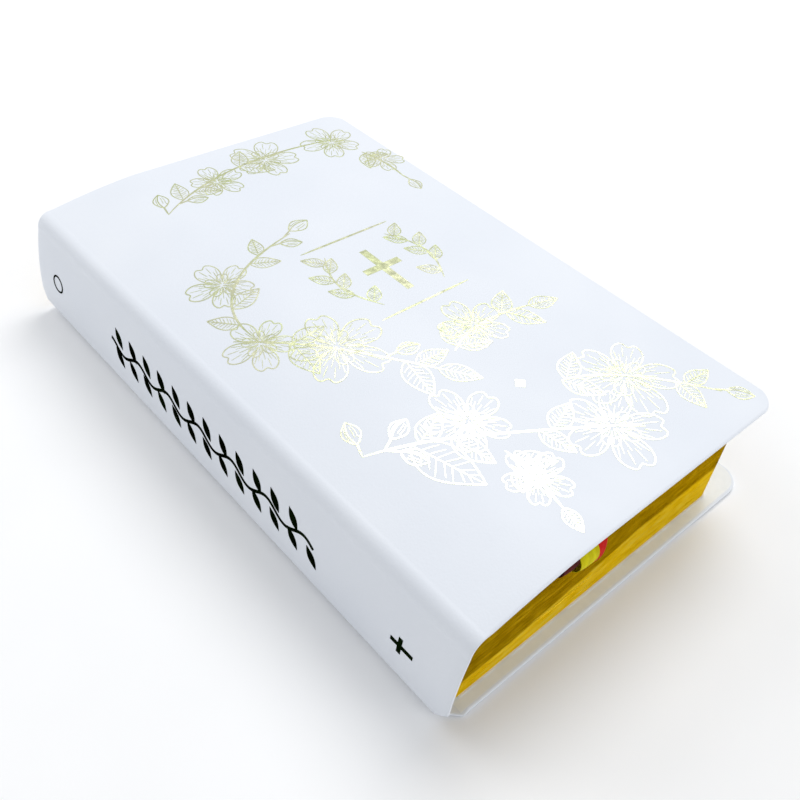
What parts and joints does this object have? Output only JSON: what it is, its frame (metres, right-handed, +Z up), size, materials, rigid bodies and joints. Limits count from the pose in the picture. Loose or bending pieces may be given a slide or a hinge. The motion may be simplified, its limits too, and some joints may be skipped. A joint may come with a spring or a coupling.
{
  "type": "bible",
  "caption": "Thick limp-cover bible with white leather-like cover, sewn gilt-edged text block and three ribbon markers; covers and block open.",
  "frame": {"origin": "centre of the bottom of the bounding box of the closed book, on the back cover's outer face", "axes": "+X from the spine to the fore-edge, +Y from the tail to the head, +Z up through the front cover"},
  "size_m": [0.1486, 0.225, 0.0447],
  "materials": {
    "cover_skin": "smooth white PU leather",
    "card": "grey card",
    "endpaper": "heavy cream paper",
    "gilt_paper": "thin paper with gilded edges",
    "kraft": "kraft paper",
    "gauze": "starched gauze",
    "thread": "linen thread",
    "band": "woven band",
    "ribbon_maroon": "satin ribbon",
    "ribbon_gold": "satin ribbon",
    "ribbon_red": "satin ribbon"
  },
  "bodies": {
    "rear_block": {"section_01": "gilt_paper", "section_02": "gilt_paper", "section_03": "gilt_paper", "section_04": "gilt_paper", "section_05": "gilt_paper", "section_06": "gilt_paper", "section_07": "gilt_paper", "section_08": "gilt_paper", "section_09": "gilt_paper", "section_10": "gilt_paper", "section_11": "gilt_paper", "section_12": "gilt_paper", "spine_skin_rear": "cover_skin", "spine_strip_rear": "card", "spine_liner_rear": "kraft", "spine_gauze_rear": "gauze", "sewing_thread_rear": "thread", "tail_band_rear": "band", "head_band_rear": "band"},
    "front_block": {"section_13": "gilt_paper", "section_14": "gilt_paper", "section_15": "gilt_paper", "section_16": "gilt_paper", "section_17": "gilt_paper", "section_18": "gilt_paper", "section_19": "gilt_paper", "section_20": "gilt_paper", "section_21": "gilt_paper", "section_22": "gilt_paper", "section_23": "gilt_paper", "section_24": "gilt_paper", "spine_skin_front": "cover_skin", "spine_strip_front": "card", "spine_liner_front": "kraft", "spine_gauze_front": "gauze", "sewing_thread_front": "thread", "tail_band_front": "band", "head_band_front": "band", "ribbon_maroon": "ribbon_maroon", "ribbon_gold": "ribbon_gold", "ribbon_red": "ribbon_red"},
    "front_cover": {"front_cover_skin": "cover_skin", "front_board": "card", "front_pastedown": "endpaper"},
    "back_cover": {"back_cover_skin": "cover_skin", "back_board": "card", "back_pastedown": "endpaper"},
    "front_flyleaf": {"front_flyleaf": "endpaper"},
    "back_flyleaf": {"back_flyleaf": "endpaper"},
    "maroon_tail": {"ribbon_maroon_tail": "ribbon_maroon"},
    "gold_tail": {"ribbon_gold_tail": "ribbon_gold"},
    "red_tail": {"ribbon_red_tail": "ribbon_red"}
  },
  "joints": [
    {"name": "middle_opening", "type": "hinge", "parent": "rear_block", "child": "front_block", "pos_m": [-0.07398, 0, 0.022], "axis": [0, -1, 0], "range_deg": [0, 135]},
    {"name": "front_cover_hinge", "type": "hinge", "parent": "front_block", "child": "front_cover", "pos_m": [-0.0668, 0, 0.0405], "axis": [0, -1, 0], "range_deg": [0, 180]},
    {"name": "back_cover_hinge", "type": "hinge", "parent": "rear_block", "child": "back_cover", "pos_m": [-0.0668, 0, -0.0001], "axis": [0, -1, 0], "range_deg": [-180, 0]},
    {"name": "front_flyleaf_turn", "type": "hinge", "parent": "front_block", "child": "front_flyleaf", "pos_m": [-0.0644, 0, 0.0392], "axis": [0, -1, 0], "range_deg": [0, 90]},
    {"name": "back_flyleaf_turn", "type": "hinge", "parent": "rear_block", "child": "back_flyleaf", "pos_m": [-0.0644, 0, 0.00165], "axis": [0, -1, 0], "range_deg": [-90, 0]},
    {"name": "maroon_ribbon_swing", "type": "hinge", "parent": "front_block", "child": "maroon_tail", "pos_m": [-0.0313, -0.108, 0.03899], "axis": [-1, 0, 0], "range_deg": [0, 70]},
    {"name": "gold_ribbon_swing", "type": "hinge", "parent": "front_block", "child": "gold_tail", "pos_m": [-0.0241, -0.108, 0.03706], "axis": [-1, 0, 0], "range_deg": [0, 70]},
    {"name": "red_ribbon_swing", "type": "hinge", "parent": "front_block", "child": "red_tail", "pos_m": [-0.0159, -0.108, 0.03497], "axis": [-1, 0, 0], "range_deg": [0, 70]}
  ],
  "couplings": [
    {"joint": "front_flyleaf_turn", "follows": "front_cover_hinge", "ratio": 0.5},
    {"joint": "back_flyleaf_turn", "follows": "back_cover_hinge", "ratio": 0.5}
  ]
}
